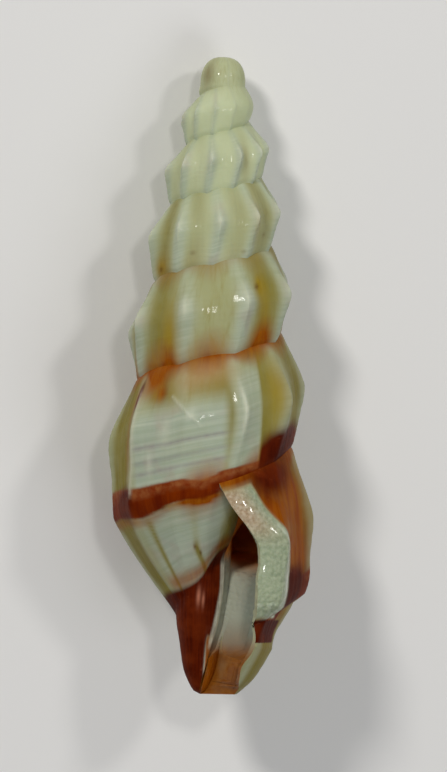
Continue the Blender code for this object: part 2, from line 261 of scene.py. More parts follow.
def suture_depth(turn):
    """Depth of the suture. It dips a little where it meets the ribs of the whorl above."""
    coil = COIL_SIZE * np.exp(GROWTH * turn) - COIL_SHIFT
    cap = APEX_DEPTH + APEX_PITCH * (turn - APEX_TURN)
    dip = SUTURE_DIP * (rib(turn - 1, 1.0) - SUTURE_DIP_LEVEL) * fade(SUTURE_DIP_TURNS, turn)
    return soft_max(coil, cap, APEX_SOFTNESS) + END_DROP * smooth_step(END_DROP_FROM, 0.0, turn) + dip


def suture_radius(turn):
    return soft_max(SUTURE_RADIUS + SUTURE_RADIUS_STEP * turn, APEX_RADIUS, APEX_SOFTNESS)


def bulge(turn):
    """How far the shoulder of a rib stands out from the line between the sutures."""
    middle = suture_radius(turn + SHOULDER_AT)
    shoulder = SHOULDER_RADIUS + SHOULDER_RADIUS_STEP * turn
    return soft_max(shoulder - middle, LEAST_BULGE, BULGE_SOFTNESS)


def peak(place, centre, sharpness):
    """1 at the shoulder and 0 at both sutures, with a rounded corner."""
    x = np.where(place < centre, (place - centre) / centre, (place - centre) / (1 - centre))
    x = np.clip(x, -1, 1)
    top = math.hypot(1, sharpness)
    return (top - np.hypot(x, sharpness)) / (top - sharpness)


def rib_count(turn, place):
    """Ribs counted from the lip. The crests bow back at the shoulder."""
    lean = RIB_LEAN_TOP * np.clip((SHOULDER_AT - place) / SHOULDER_AT, 0, 1) ** RIB_LEAN_TOP_BEND
    below = np.clip((place - SHOULDER_AT) / RIB_LEAN_REACH, 0, 1)
    lean = lean + RIB_LEAN_BASE * below**RIB_LEAN_BASE_BEND
    return smooth_curve(RIBS_FROM_LIP, turn - lean)


def rib(turn, place):
    """1 on a rib's crest and near 0 between ribs."""
    count = rib_count(turn, place)
    away = np.abs(count - np.round(count))
    fold = np.exp(-((away / RIB_WIDTH) ** RIB_ROUNDNESS))
    worn = 1 - WORN_RIB_LOSS * bell(turn, WORN_RIB_TURN, WORN_RIB_WIDTH)
    return fold * worn * fade(RIB_TURNS, turn)


def varix(turn, depth):
    """The thickened band behind the outer lip's edge, down to its blunt, toothed lower end."""
    behind = lip_turn(depth) - turn
    across = np.abs(behind - VARIX_BACK) / VARIX_WIDTH
    band = np.exp(-(across**3))
    end = VARIX_END + TOOTH_HEIGHT * np.cos(2 * np.pi * behind / TOOTH_WIDTH)
    length = 1 - smooth_step(end - VARIX_END_SOFTNESS, end, depth)
    return VARIX_HEIGHT * band * length


def foot_radius(turn):
    """Radius at the lower suture of a whorl. The last half turn is pinched in above the canal."""
    return suture_radius(turn + 1) - BASE_PINCH * fade(SWELL_TURNS, turn)


def scar(turn, place):
    """A thin slanting ridge on the last whorl, where the growing edge was once chipped."""
    size = np.array([2 * np.pi * SCAR_RADIUS, SCAR_WHORL])
    found = 0.0
    for start, end in zip(np.array(SCAR), np.array(SCAR[1:])):
        along = (end - start) * size
        x, y = (turn - start[0]) * size[0], (place - start[1]) * size[1]
        share = np.clip((x * along[0] + y * along[1]) / (along @ along), 0, 1)
        away = np.hypot(x - share * along[0], y - share * along[1])
        found = np.maximum(found, bell(away, 0, SCAR_WIDTH))
    return found


def seams(turn, place):
    """Two fine furrows down the base from the coloured band. The first is fainter at its upper end."""
    first = bell(turn, smooth_curve(FIRST_SEAM, place), SEAM_WIDTH) * fade(FIRST_SEAM_FROM, place)
    first = first * (FIRST_SEAM_FAINT + (1 - FIRST_SEAM_FAINT) * fade(FIRST_SEAM_STRONG, place))
    second = bell(turn, SECOND_SEAM, SEAM_WIDTH) * fade(SECOND_SEAM_FROM, place)
    return (first + SECOND_SEAM_SHARE * second) * fade(SEAM_END, place)


def knobs(turn, place):
    """1 where a rib of the spire passes the shoulder. The ribs stand out most there."""
    return bell(place, KNOB_AT, KNOB_REACH) * rib(turn, place) ** KNOB_BEND * fade(KNOB_TURNS, turn)


def has_foot(turn):
    """1 where a whorl follows below, 0 over the base."""
    return 1 - last_weight(turn) * fade(FOOT_TURNS, turn)


def relief(turn, depth):
    """Suture grooves, spiral cords, growth lines, scar, furrows and knobs, as a small change of radius."""
    top = suture_depth(turn)
    height = suture_depth(turn + 1) - top
    place = (depth - top) / height
    groove = bell(depth, top, GROOVE_WIDTH) + has_foot(turn) * bell(depth, top + height, GROOVE_WIDTH)
    size = fade(RELIEF_TURNS, turn)
    phase = place * CORDS_PER_WHORL
    cord = bell(phase - np.floor(phase), 0.5, CORD_WIDTH) - 1
    cord = cord * (UPPER_CORDS + (1 - UPPER_CORDS) * fade(LOWER_CORDS_FROM, place))
    cord = cord * fade(CORD_START, place) * (1 - BASE_CORD_LOSS * fade(BASE_CORDS_FROM, place))
    behind = lip_turn(depth) - turn
    cord = cord * (1 - fade(CORD_END, behind) * fade(CORD_END_TURNS, turn))
    lines = -1.0
    for share, count, slant in GROWTH_LINES:
        lines = lines + share * np.sin(2 * np.pi * turn * count + slant * place)
    return (
        (CORD_HEIGHT * cord + GROWTH_LINE_HEIGHT * lines) * size
        - GROOVE_DEPTH * groove
        + SCAR_HEIGHT * scar(turn, place)
        - SEAM_DEPTH * seams(turn, place)
        + KNOB_HEIGHT * knobs(turn, place)
    )


def whorl_radius(turn, place, last):
    """Radius of a whorl at a place from 0, at its upper suture, to 1, at its lower one."""
    place = np.clip(place, 0, 1)
    centre = SHOULDER_AT + (LAST_SHOULDER_AT - SHOULDER_AT) * fade(LAST_SHOULDER_TURNS, turn)
    upper = suture_radius(turn) + SUTURE_WAVE * rib(turn - 1, 1.0)
    lower = foot_radius(turn) + SUTURE_WAVE * rib(turn, 1.0) * (1 - last)
    line = upper + (lower - upper) * place
    share = 1 - (1 - VALLEY_SHARE) * fade(RIB_TURNS, turn)
    valley = peak(place, centre, VALLEY_SHARPNESS) * share
    crest = peak(place, centre, CREST_SHARPNESS) - valley
    crest = np.where(place > centre, np.maximum(crest, BASE_FOLDS * last), crest)
    depth = suture_depth(turn) + (suture_depth(turn + 1) - suture_depth(turn)) * place
    folds = bulge(turn) * (valley + crest * rib(turn, place))
    swell = smooth_curve(SWELL_PROFILE, place) * fade(SWELL_TURNS, turn)
    return line + folds + swell + varix(turn, depth) * smooth_step(0, VARIX_TOP, place)


def base_radius(turn, depth, last):
    """Radius below the lower suture line of the last whorl: a cone that runs into the neck and the canal."""
    start = suture_depth(turn + 1)
    along = np.clip((depth - start) / CONE_LENGTH, 0, 1)
    neck = smooth_curve(NECK_PROFILE, depth)
    canal = smooth_curve(CANAL_PROFILE, depth)
    swing = smooth_step(CANAL_SWING_FROM, LIP_TURN - CANAL_SWING_END, turn) ** CANAL_SWING_BEND
    wide = foot_radius(turn)
    cone = neck + (wide - neck) * (1 - along**CONE_BEND)
    place = 1 + along * BASE_FOLDS_REACH
    folds = BASE_FOLDS * bulge(turn) * rib(turn, place) * (1 - along) ** BASE_FOLDS_FADE * last
    low = neck + (np.minimum(canal, wide) - neck) * swing
    return soft_max(cone, low, JOIN_SOFTNESS) + folds + varix(turn, depth)


def last_weight(turn):
    """0 where the last whorl starts under the lip's end, 1 a little further on."""
    return smooth_step(LIP_TURN - 1, LIP_TURN - 1 + LAST_WHORL_JOIN, turn)


def surface_radius(turn, depth):
    """Radius of the shell's outside at a turn and depth on the last whorl."""
    top = suture_depth(turn)
    place = (depth - top) / (suture_depth(turn + 1) - top)
    last = last_weight(turn)
    return np.where(place <= 1, whorl_radius(turn, place, last), base_radius(turn, depth, last))


def lip_turn(depth):
    return LIP_TURN + smooth_curve(LIP_SWEEP, depth)


def point(turn, depth, radius):
    """A point in the shell's own frame: x to the viewer's right, y away from the viewer, z up to the apex."""
    angle = 2 * np.pi * turn
    return np.stack([-radius * np.sin(angle), -radius * np.cos(angle), -depth], axis=-1)


def lip_end(share, below):
    """The turn where a row meets the lip's edge, at a share of the whorl's height or of the base below it."""
    turn = LIP_TURN
    for _ in range(LIP_PASSES):
        foot = suture_depth(turn + 1)
        top = suture_depth(turn)
        depth = foot + (LENGTH - foot) * share if below else top + (foot - top) * share
        turn = float(lip_turn(depth))
    return turn


class Strip:
    """Rows of points that wind round the shell, and the turn of each corner of each face."""

    def __init__(self):
        self.points = []
        self.turns = []
        self.count = 0
        self.faces = []
        self.face_turns = []
        self.face_rims = []

    def add(self, turn, depth, radius):
        made = point(turn, depth, radius)
        self.points.append(made)
        self.turns.append(np.asarray(turn, float))
        first = self.count
        self.count += len(made)
        return np.arange(first, first + len(made))

    def face(self, corners, turns, rim=0.0):
        self.faces.append(tuple(int(c) for c in corners))
        self.face_turns.extend(float(t) for t in turns)
        self.face_rims.extend([rim] * len(corners))


def outer_strip():
    """The solid outside, with the aperture still filled by a plain wall."""
    strip = Strip()
    share = np.linspace(0, 1, TURN_STEPS + 1)
    rows = []
    row_turns = []
    starts = []

    def row(turn, depth, radius):
        rows.append(strip.add(turn, depth, radius))
        row_turns.append(np.asarray(turn, float))

    first_turn = LIP_TURN + FIRST_WHORL + share
    ring_depth = suture_depth(first_turn[0] + 1)
    ring_radius = suture_radius(first_turn[0] + 1)
    apex = strip.add(np.zeros(1), np.zeros(1), np.zeros(1))[0]
    for k in range(1, DOME_ROWS):
        climb = k / DOME_ROWS * math.pi / 2
        depth = np.full_like(share, ring_depth * (1 - math.cos(climb) ** APEX_BLUNTNESS))
        row(first_turn, depth, ring_radius * math.sin(climb) ** APEX_BLUNTNESS)
    for whorl in range(FIRST_WHORL, 0):
        starts.append(len(rows))
        for k in range(WHORL_ROWS):
            place = k / WHORL_ROWS
            turn = LIP_TURN + whorl + share
            if whorl == -1:
                turn = turn[0] + share * (lip_end(place, False) - turn[0])
            top = suture_depth(turn) if whorl > FIRST_WHORL else ring_depth
            depth = top + (suture_depth(turn + 1) - top) * place
            radius = whorl_radius(turn, place, last_weight(turn))
            if whorl == FIRST_WHORL:
                plain = ring_radius + (suture_radius(turn + 1) - ring_radius) * place
                radius = plain + (radius - plain) * smooth_step(0, 1, share)
            row(turn, depth, radius + relief(turn, depth))
    starts.append(len(rows))
    last_rows = starts[-2]

    # Below the last suture line
    for k in range(BASE_ROWS):
        low = k / BASE_ROWS
        start_turn = LIP_TURN - 1 + PARIETAL_OVERLAP * smooth_step(0, PARIETAL_REACH, low)
        where = start_turn + share * (lip_end(low, True) - start_turn)
        depth = suture_depth(where + 1) * (1 - low) + LENGTH * low
        if k == 0:
            radius = whorl_radius(where, 1.0, last_weight(where))
        else:
            radius = base_radius(where, depth, last_weight(where))
        row(where, depth, radius + relief(where, depth) * fade(BASE_RELIEF, low))
    foot = strip.add(np.array([0.0]), np.array([LENGTH]), np.array([0.0]))[0]

    top_turns, end_turns = row_turns[0], row_turns[-1]
    for j in range(TURN_STEPS):
        strip.face((apex, rows[0][j + 1], rows[0][j]), (top_turns[j], top_turns[j + 1], top_turns[j]))
        strip.face((foot, rows[-1][j], rows[-1][j + 1]), (end_turns[j], end_turns[j], end_turns[j + 1]))
    for k in range(len(rows) - 1):
        above, below = rows[k], rows[k + 1]
        a, b = row_turns[k], row_turns[k + 1]
        if k + 1 in starts[1:-1]:
            b = b - 1
        for j in range(TURN_STEPS):
            strip.face((above[j], above[j + 1], below[j + 1], below[j]), (a[j], a[j + 1], b[j + 1], b[j]))

    start_column = [r[0] for r in rows[-BASE_ROWS:]] + [foot]
    end_column = [r[-1] for r in rows[last_rows:]] + [foot]
    return strip, start_column, end_column


def fill_mouth(strip, start_column, end_column):
    """Triangles that close the gap between the inner lip's line and the outer lip's edge."""
    points = np.concatenate(strip.points)
    turns = np.concatenate(strip.turns)
    i = j = 0
    while i < len(start_column) - 1 or j < len(end_column) - 1:
        next_i = points[start_column[min(i + 1, len(start_column) - 1)]][2]
        next_j = points[end_column[min(j + 1, len(end_column) - 1)]][2]
        step_i = i < len(start_column) - 1 and (j == len(end_column) - 1 or next_i > next_j)
        if step_i:
            made = (start_column[i], start_column[i + 1], end_column[j])
            i += 1
        else:
            made = (start_column[i], end_column[j + 1], end_column[j])
            j += 1
        if len(set(made)) == 3:
            strip.face(made, [turns[end_column[min(j, len(end_column) - 2)]]] * 3, 1.0)


def new_object(name, vertices, faces, attributes):
    """A welded, triangulated mesh object. The attributes hold one number for each corner of each face."""
    mesh = bpy.data.meshes.new(name)
    mesh.from_pydata(vertices.tolist(), [], faces)
    for key, values in attributes.items():
        layer = mesh.attributes.new(key, "FLOAT", "CORNER")
        layer.data.foreach_set("value", np.asarray(values, np.float32))
    made = bmesh.new()
    made.from_mesh(mesh)
    bmesh.ops.remove_doubles(made, verts=made.verts, dist=WELD)
    bmesh.ops.dissolve_degenerate(made, edges=made.edges, dist=WELD)
    bmesh.ops.recalc_face_normals(made, faces=made.faces)
    bmesh.ops.triangulate(made, faces=made.faces)
    made.to_mesh(mesh)
    made.free()
    found = bpy.data.objects.new(name, mesh)
    bpy.context.scene.collection.objects.link(found)
    return found


def cavity_ring(back):
    """One slanted section of the hollow, this many turns behind the aperture's edge."""
    depth_share = np.linspace(0, 1, CAVITY_ROWS + 1)
    narrow = fade(NARROW_BACK, back)
    end = LIP_TURN + back
    top = suture_depth(end) + MOUTH_TOP_GAP + (CAVITY_TOP_GAP - MOUTH_TOP_GAP) * narrow
    low = MOUTH_FOOT
    if back < 0:
        low = min(smooth_curve(CANAL_FLOOR, back), suture_depth(end + 1) + CAVITY_FOOT)
    depth = top + (low - top) * depth_share
    inner_turn = smooth_curve(INNER_LIP, depth) + back
    outer_turn = lip_turn(depth) + back
    sink = smooth_step(MOUTH_START, -MOUTH_START, back)
    inner = base_radius(inner_turn - 1, depth, 0.0) + CALLUS * (1 - 2 * sink) + 2 * CALLUS * narrow
    thickness = LIP_WALL + (WALL - LIP_WALL) * smooth_step(0.0, LIP_WALL_BACK, back)
    outer = surface_radius(outer_turn, depth) - varix(outer_turn, depth) - thickness
    rounding = FLOOR_ROUNDING * fade(FLOOR_ROUNDING_BACK, back) * fade(FLOOR_ROUNDING_SHARE, depth_share)
    outer = outer - (outer - inner) * rounding
    outer = np.maximum(outer, inner + CALLUS)
    left = point(inner_turn, depth, inner)
    right = point(outer_turn, depth, outer)
    across = np.linspace(0, 1, FLOOR_STEPS + 1)[1:-1, None]
    floor = left[-1] + (right[-1] - left[-1]) * across
    floor[:, 2] -= FLOOR_SAG * fade(FLOOR_SAG_BACK, back) * np.sin(np.pi * across[:, 0])
    return np.concatenate([left, floor, right[::-1]])


def cavity_object():
    """The hollow: a slit-like tube that starts in front of the aperture and coils inward to a closed end."""
    rings = []
    backs = []
    for k in range(CAVITY_STEPS + 1):
        share = (k / CAVITY_STEPS) ** 2
        backs.append(MOUTH_START - (CAVITY_TURNS + MOUTH_START) * share)
        rings.append(cavity_ring(backs[-1]))
    count = len(rings[0])
    faces = []
    values = []
    for k in range(CAVITY_STEPS):
        for j in range(count):
            across = (j + 1) % count
            faces.append((k * count + j, k * count + across, (k + 1) * count + across, (k + 1) * count + j))
            values.extend((backs[k], backs[k], backs[k + 1], backs[k + 1]))
    for first, back in ((0, backs[0]), (CAVITY_STEPS * count, backs[-1])):
        for j in range(CAVITY_ROWS):
            faces.append((first + j, first + j + 1, first + count - 2 - j, first + count - 1 - j))
            values.extend([back] * 4)
        faces.append(tuple(first + CAVITY_ROWS + j for j in range(FLOOR_STEPS + 1)))
        values.extend([back] * (FLOOR_STEPS + 1))
    values = np.array(values)
    ones = np.ones(len(values))
    attributes = {"turn": values, "inside": ones, "back": values, "rim": np.zeros(len(values))}
    return new_object("hollow", np.concatenate(rings), faces, attributes)


def shell_object():
    """The outside with the hollow cut out of it."""
    strip, start_column, end_column = outer_strip()
    fill_mouth(strip, start_column, end_column)
    turns = np.array(strip.face_turns)
    none = np.zeros(len(turns))
    attributes = {"turn": turns, "inside": none, "back": none, "rim": np.array(strip.face_rims)}
    solid = new_object("shell_relief", np.concatenate(strip.points), strip.faces, attributes)
    hollow = cavity_object()
    cut = solid.modifiers.new("aperture", "BOOLEAN")
    cut.operation = "DIFFERENCE"
    cut.solver = "EXACT"
    cut.use_self = True
    cut.object = hollow
    graph = bpy.context.evaluated_depsgraph_get()
    mesh = bpy.data.meshes.new_from_object(solid.evaluated_get(graph))
    solid.modifiers.clear()
    solid.data = mesh
    bpy.data.objects.remove(hollow)
    return solid


# Colour masks. Each is 0 to 1 at a place on the shell. A fade is two values, at which a mask is 0 and 1.
# A row of spots is a strength, a turn, a place and the half size in each.

LIP_BACK = (0.066, 0.056)
LIP_SIDE = (-0.40, -0.30)
LIP_TOP = (0.04, 0.10)
LIP_FOOT = (6.56, 6.52)
GAP_BEND = 1.3
BAND_CENTRE = (
    (-1.30, 0.97), (-1.115, 1.00), (-1.03, 0.985), (-0.993, 1.02), (-0.95, 0.985),
    (-0.863, 1.005), (-0.768, 0.94), (-0.50, 0.90), (-0.25, 0.86), (-0.20, 0.88),
    (-0.16, 0.98), (-0.13, 1.05), (-0.05, 1.055),
)
BAND_HALF = (
    (-1.30, 0.06), (-1.115, 0.075), (-1.03, 0.080), (-0.993, 0.070), (-0.95, 0.080),
    (-0.863, 0.110), (-0.768, 0.105), (-0.50, 0.09), (-0.19, 0.085), (-0.175, 0.073),
    (-0.05, 0.073),
)
BAND_EDGE = (1.25, 0.75)
BAND_TURNS = (-1.118, -1.100)
BAND_LOWER = (-0.45, 0.0)
FRINGE_AT = 1.25
FRINGE_WIDTH = 0.35
FRINGE_TURNS = ((-1.05, -1.0), (-0.2, -0.3))
FRINGE_SHARE = 0.5

# Stains
OVER_REACH = (0.16, 0.22)
OVER_ON_RIB = 0.25
OVER_PLACE = (1.3, 1.0)
OVER_TURNS = (-3.4, -1.2)
UNDER_REACH = (0.10, 0.16)
UNDER_SHARE = 0.85
UNDER_TURNS = (-2.6, -0.9)
STAIN_SPOTS = (
    (0.9, -0.872, 0.10, 0.028, 0.12),
    (0.6, -0.900, 0.22, 0.012, 0.06),
    (1.2, -0.130, 0.25, 0.080, 0.32),
    (1.2, -0.160, 0.60, 0.055, 0.38),
    (0.9, -0.155, 0.80, 0.060, 0.20),
    (0.4, -0.836, 0.45, 0.012, 0.35),
    (0.8, -2.122, 0.97, 0.026, 0.20),
    (0.6, -1.905, 1.00, 0.026, 0.20),
)
FASCIOLE_TOP = (
    (-1.20, 5.62), (-1.06, 5.80), (-1.03, 5.92), (-1.00, 6.06), (-0.95, 6.17),
    (-0.85, 6.27), (-0.75, 6.33), (-0.50, 6.75), (-0.30, 7.30),
)
FASCIOLE_SOFTNESS = 0.08
FASCIOLE_TURNS = (-0.32, -0.5)
HALO_AT = -0.08
HALO_WIDTH = 0.09
HALO_TURNS = (-0.80, -0.86)
HALO_FROM = 1.1
HALO_SHARE = 0.7
TIP_TURNS = (-1.020, -1.040)
TIP_DEPTH = (6.70, 6.86)
TIP_STAIN = 0.9

# Dark patches
LEFT_PATCH = ((1.3, -1.165, 0.92, 0.090, 0.19),)
LEFT_PATCH_END = (-1.096, -1.108)
RIGHT_PATCH = ((1.0, -0.812, 0.97, 0.040, 0.12),)
RIGHT_PATCH_END = (-0.855, -0.845)
DARK_SPOTS = (
    (0.90, -0.843, 0.20, 0.007, 0.12),
    (0.75, -0.125, 0.08, 0.080, 0.17),
    (1.30, -0.155, 0.84, 0.060, 0.14),
)
BLOCK_DEPTHS = ((6.565, 6.585), (6.845, 6.825))
BLOCK_TURNS = (-0.205, -0.18)
BLOCK_SHARE = 1.2

# White enamel
LAST_TURNS = (-1.5, -1.3)
PANEL_TURNS = ((-0.848, -0.862), (-1.045, -1.02))
PANEL_PLACES = ((0.22, 0.45), (0.98, 0.93))
BASE_TURNS = ((-0.80, -0.87), (-1.06, -1.03))
BASE_PLACE = (1.06, 1.14)
BROAD_TURNS = ((-1.104, -1.094), (-1.035, -1.055))
BROAD_PLACES = ((0.02, 0.25), (1.0, 0.93))
CREST_EDGE = (0.15, 0.85)
CREST_TOP_SHARE = 0.55
CREST_TOP = (0.2, 0.5)
# The crests lose white on the last whorl's sides: painted shade.
CREST_RIGHT_SHADE = 0.65
CREST_RIGHT_SHADE_TURNS = (-0.86, -0.845)
CREST_LEFT_SHADE = 0.5
CREST_LEFT_SHADE_TURNS = (-1.15, -1.2)
PANEL_WHITE = 0.95
CREST_WHITE = 0.8
FURROW_COLOUR = 1.3
FURROW_WHITE_LOSS = 0.9
VEIN_PLACES = (0.61, 0.715, 0.80)
VEIN_WIDTH = 0.011

# Painted highlights: bright lines and points
LINE_WIDTH = 0.038
LINE_TURNS = ((-1.13, -1.10), (-0.80, -0.84))
LINE_PLACES = ((0.10, 0.25), (0.97, 0.90))
LINE_SKIP = 8
LINE_SKIP_WIDTH = 0.4
LINE_FRONT = (-0.95, -0.98)
LINE_SIDE_SHARE = 0.65
LINE_FRONT_SHARE = 1.2
LINE_FRONT_AT = 0.45
LINE_FRONT_REACH = 0.17
KNOB_HIGHLIGHT = 0.8
KNOB_HIGHLIGHT_BEND = 2.5
RIM_LINE_BACK = 0.054
RIM_LINE_WIDTH = 0.0035
RIM_LINE_DEPTH = (5.3, 5.7)
RIM_LINE_SHARE = 0.9
CANAL_HIGHLIGHT = ((0.6, -1.030, 7.1, 0.008, 0.18),)
HIGHLIGHT_SPOTS = (
    (0.55, -0.918, 0.52, 0.012, 0.09),
    (0.50, -0.886, 0.74, 0.006, 0.09),
    (0.60, -0.966, 0.42, 0.008, 0.04),
)
SCAR_HIGHLIGHT = 0.45
COLUMELLA_WIDTH = (0.032, 0.014)
COLUMELLA_DEPTHS = ((5.75, 6.0), (6.98, 6.85))
COLUMELLA_END = -0.9

# Olive, amber, pink and flecks
# The spire's interspaces get less olive at the front, so the tint is strongest toward the sides of the view:
# partly the shell's own olive, partly painted shade.
FACING_WIDTH = 0.075
FACING_TURNS = (-1.1, -1.4)
FACING_LOSS = 0.65
OLIVE_SHARE = 0.85
OLIVE_TURNS = (-4.6, -2.5)
HIDDEN_SIDE = (0.20, 0.32)
HIDDEN_LOSS = 0.45
OLIVE_SPOTS = ((0.5, -1.033, 0.50, 0.020, 0.32),)
# Olive over the last whorl's sides: painted shade, darker toward the sides of the view.
OLIVE_RIGHT_SHADE = 0.60
OLIVE_RIGHT_SHADE_TURNS = (-0.862, -0.845)
OLIVE_RIGHT_SHADE_LOSS = 0.5
OLIVE_LEFT_SHADE = 0.35
OLIVE_LEFT_SHADE_TURNS = (-1.17, -1.22)
OLIVE_BASE_LOSS = 0.8
FURROW_OLIVE = 0.65
AMBER_SPOTS = (
    (0.75, -2.122, 0.60, 0.020, 0.42),
    (0.75, -1.140, 0.38, 0.028, 0.34),
    (0.90, -1.905, 0.72, 0.022, 0.34),
    (0.90, -2.826, 0.92, 0.030, 0.16),
    (0.80, -2.106, 0.34, 0.014, 0.12),
    (0.50, -3.115, 0.55, 0.018, 0.40),
    (0.30, -4.100, 0.60, 0.020, 0.40),
)
PINK_SPOTS = (
    (0.8, -0.985, 0.10, 0.060, 0.14),
    (1.0, -0.972, 1.82, 0.012, 0.06),
    (0.9, -1.000, 1.88, 0.008, 0.05),
)
PINK_LIP = 0.9
PINK_LIP_DEPTH = (5.75, 5.35)
PINK_LIP_BACK = (0.062, 0.012)
FLECKS = (
    (0.50, -5.878, 0.33, 0.060, 0.600),
    (0.80, -2.823, 0.93, 0.008, 0.030),
    (0.80, -2.100, 0.33, 0.008, 0.030),
    (0.35, -2.936, 0.82, 0.008, 0.030),
    (0.35, -3.077, 0.92, 0.008, 0.030),
    (0.35, -3.150, 0.75, 0.008, 0.030),
    (0.90, -0.968, 1.43, 0.004, 0.018),
    (0.90, -0.985, 1.50, 0.004, 0.018),
)

# Inside and spire
# The columella's wall inside the aperture is painted near-white: painted light on a face that lies in shade.
EDGE_NEAR = (-0.030, -0.012)
EDGE_NEAR_SHARE = 0.65
EDGE_FAR = (-0.24, -0.10)
EDGE_FAR_SHARE = 0.22
EDGE_RADIUS = (0.60, 0.50)
EDGE_DEPTHS = ((5.7, 6.0), (6.95, 6.75))
DEEP_BACK = (-0.10, -0.30)
DEEP_DEPTH = (5.95, 5.75)
CANAL_DEPTH = (6.70, 7.06)
SPIRE_TURNS = (-1.6, -3.2)
APEX_LOSS = 0.55
APEX_FADE = (0.60, 0.25)


def within(value, *pairs):
    """The product of several fades."""
    found = 1.0
    for pair in pairs:
        found = found * fade(pair, value)
    return found


def spots(turn, place, table):
    """The sum of soft round spots."""
    found = 0.0
    for strength, at_turn, at_place, half_turn, half_place in table:
        found = found + strength * bell(turn, at_turn, half_turn) * bell(place, at_place, half_place)
    return found


def clip(value):
    return np.clip(value, 0, 1)


class Places:
    """Where the corners of the faces are on the shell, and what several masks use."""

    def __init__(self, turn, depth, radius, inside, back, rim):
        self.turn = turn
        self.depth = depth
        self.radius = radius
        self.inside = inside
        self.back = back
        self.rim = rim
        self.outside = (1 - inside) * (1 - rim)
        top = suture_depth(turn)
        self.height = suture_depth(turn + 1) - top
        self.place = (depth - top) / self.height
        self.ribs = rib(turn, self.place)
        self.gap = (1 - self.ribs) ** GAP_BEND
        self.last = fade(LAST_TURNS, turn)
        self.behind = lip_turn(depth) - turn
        self.below_fasciole = depth - smooth_curve(FASCIOLE_TOP, turn)
        self.tip = fade(TIP_TURNS, turn) * fade(TIP_DEPTH, depth)
        self.lip = fade(LIP_BACK, self.behind) * fade(LIP_SIDE, turn)
        self.lip = self.lip * fade(LIP_TOP, self.place) * fade(LIP_FOOT, depth)
        self.furrow = clip(FURROW_COLOUR * seams(turn, self.place))
        self.panel = within(turn, *PANEL_TURNS) * within(self.place, *PANEL_PLACES)
        self.base = within(turn, *BASE_TURNS) * fade(BASE_PLACE, self.place)
        self.broad = within(turn, *BROAD_TURNS) * within(self.place, *BROAD_PLACES)
        self.across_band = (self.place - smooth_curve(BAND_CENTRE, turn)) / smooth_curve(BAND_HALF, turn)
        self.fringe = bell(self.across_band, FRINGE_AT, FRINGE_WIDTH)
        self.fringe = self.fringe * within(turn, *FRINGE_TURNS) * (1 - self.lip)


def band_mask(at):
    """The spiral band of the last whorl."""
    band = fade(BAND_EDGE, np.abs(at.across_band)) * fade(BAND_TURNS, at.turn)
    return band * (1 - at.lip) * at.outside


def stain_mask(at):
    """Orange along the sutures and between the ribs, stronger towards the aperture."""
    over = clip(1 - (1 - at.place) * at.height / (OVER_REACH[0] + OVER_REACH[1] * at.gap))
    over = over * fade(OVER_PLACE, at.place) * (OVER_ON_RIB + (1 - OVER_ON_RIB) * at.gap)
    under = clip(1 - at.place * at.height / (UNDER_REACH[0] + UNDER_REACH[1] * at.gap))
    halo = bell(at.below_fasciole, HALO_AT, HALO_WIDTH) * fade(HALO_TURNS, at.turn)
    stain = fade(OVER_TURNS, at.turn) * over * has_foot(at.turn)
    stain = stain + fade(UNDER_TURNS, at.turn) * UNDER_SHARE * under
    stain = stain + spots(at.turn, at.place, STAIN_SPOTS) + FRINGE_SHARE * at.fringe
    stain = stain + HALO_SHARE * halo * (at.place > HALO_FROM)
    return np.maximum(clip(stain) * (1 - at.lip), TIP_STAIN * at.tip)


def dark_mask(at):
    """Dark red-brown: the fasciole, patches at the sutures and the block below the lip's band."""
    dark = spots(at.turn, at.place, LEFT_PATCH) * fade(LEFT_PATCH_END, at.turn)
    dark = dark + spots(at.turn, at.place, RIGHT_PATCH) * fade(RIGHT_PATCH_END, at.turn)
    dark = dark + spots(at.turn, at.place, DARK_SPOTS)
    fasciole = smooth_step(-FASCIOLE_SOFTNESS, FASCIOLE_SOFTNESS, at.below_fasciole)
    dark = dark + fasciole * fade(FASCIOLE_TURNS, at.turn)
    dark = dark + BLOCK_SHARE * within(at.depth, *BLOCK_DEPTHS) * fade(BLOCK_TURNS, at.turn)
    return clip(dark * (1 - at.tip)) * (1 - at.lip) * at.outside


def white_mask(at):
    """Milky enamel: a panel and a broad rib of the last whorl, the base and the ribs' crests. The crests are
    less white on the last whorl's sides, as painted shade.
    """
    crest = CREST_TOP_SHARE + (1 - CREST_TOP_SHARE) * fade(CREST_TOP, at.place)
    crest = crest * fade(CREST_EDGE, at.ribs)
    # Painted shade: less white on the crests of the last whorl's sides.
    crest = crest * (1 - CREST_RIGHT_SHADE * fade(CREST_RIGHT_SHADE_TURNS, at.turn))
    crest = crest * (1 - CREST_LEFT_SHADE * fade(CREST_LEFT_SHADE_TURNS, at.turn) * at.last)
    white = np.maximum(PANEL_WHITE * np.maximum(at.panel, at.base), CREST_WHITE * np.maximum(crest, at.broad))
    return clip(white) * (1 - FURROW_WHITE_LOSS * at.furrow)


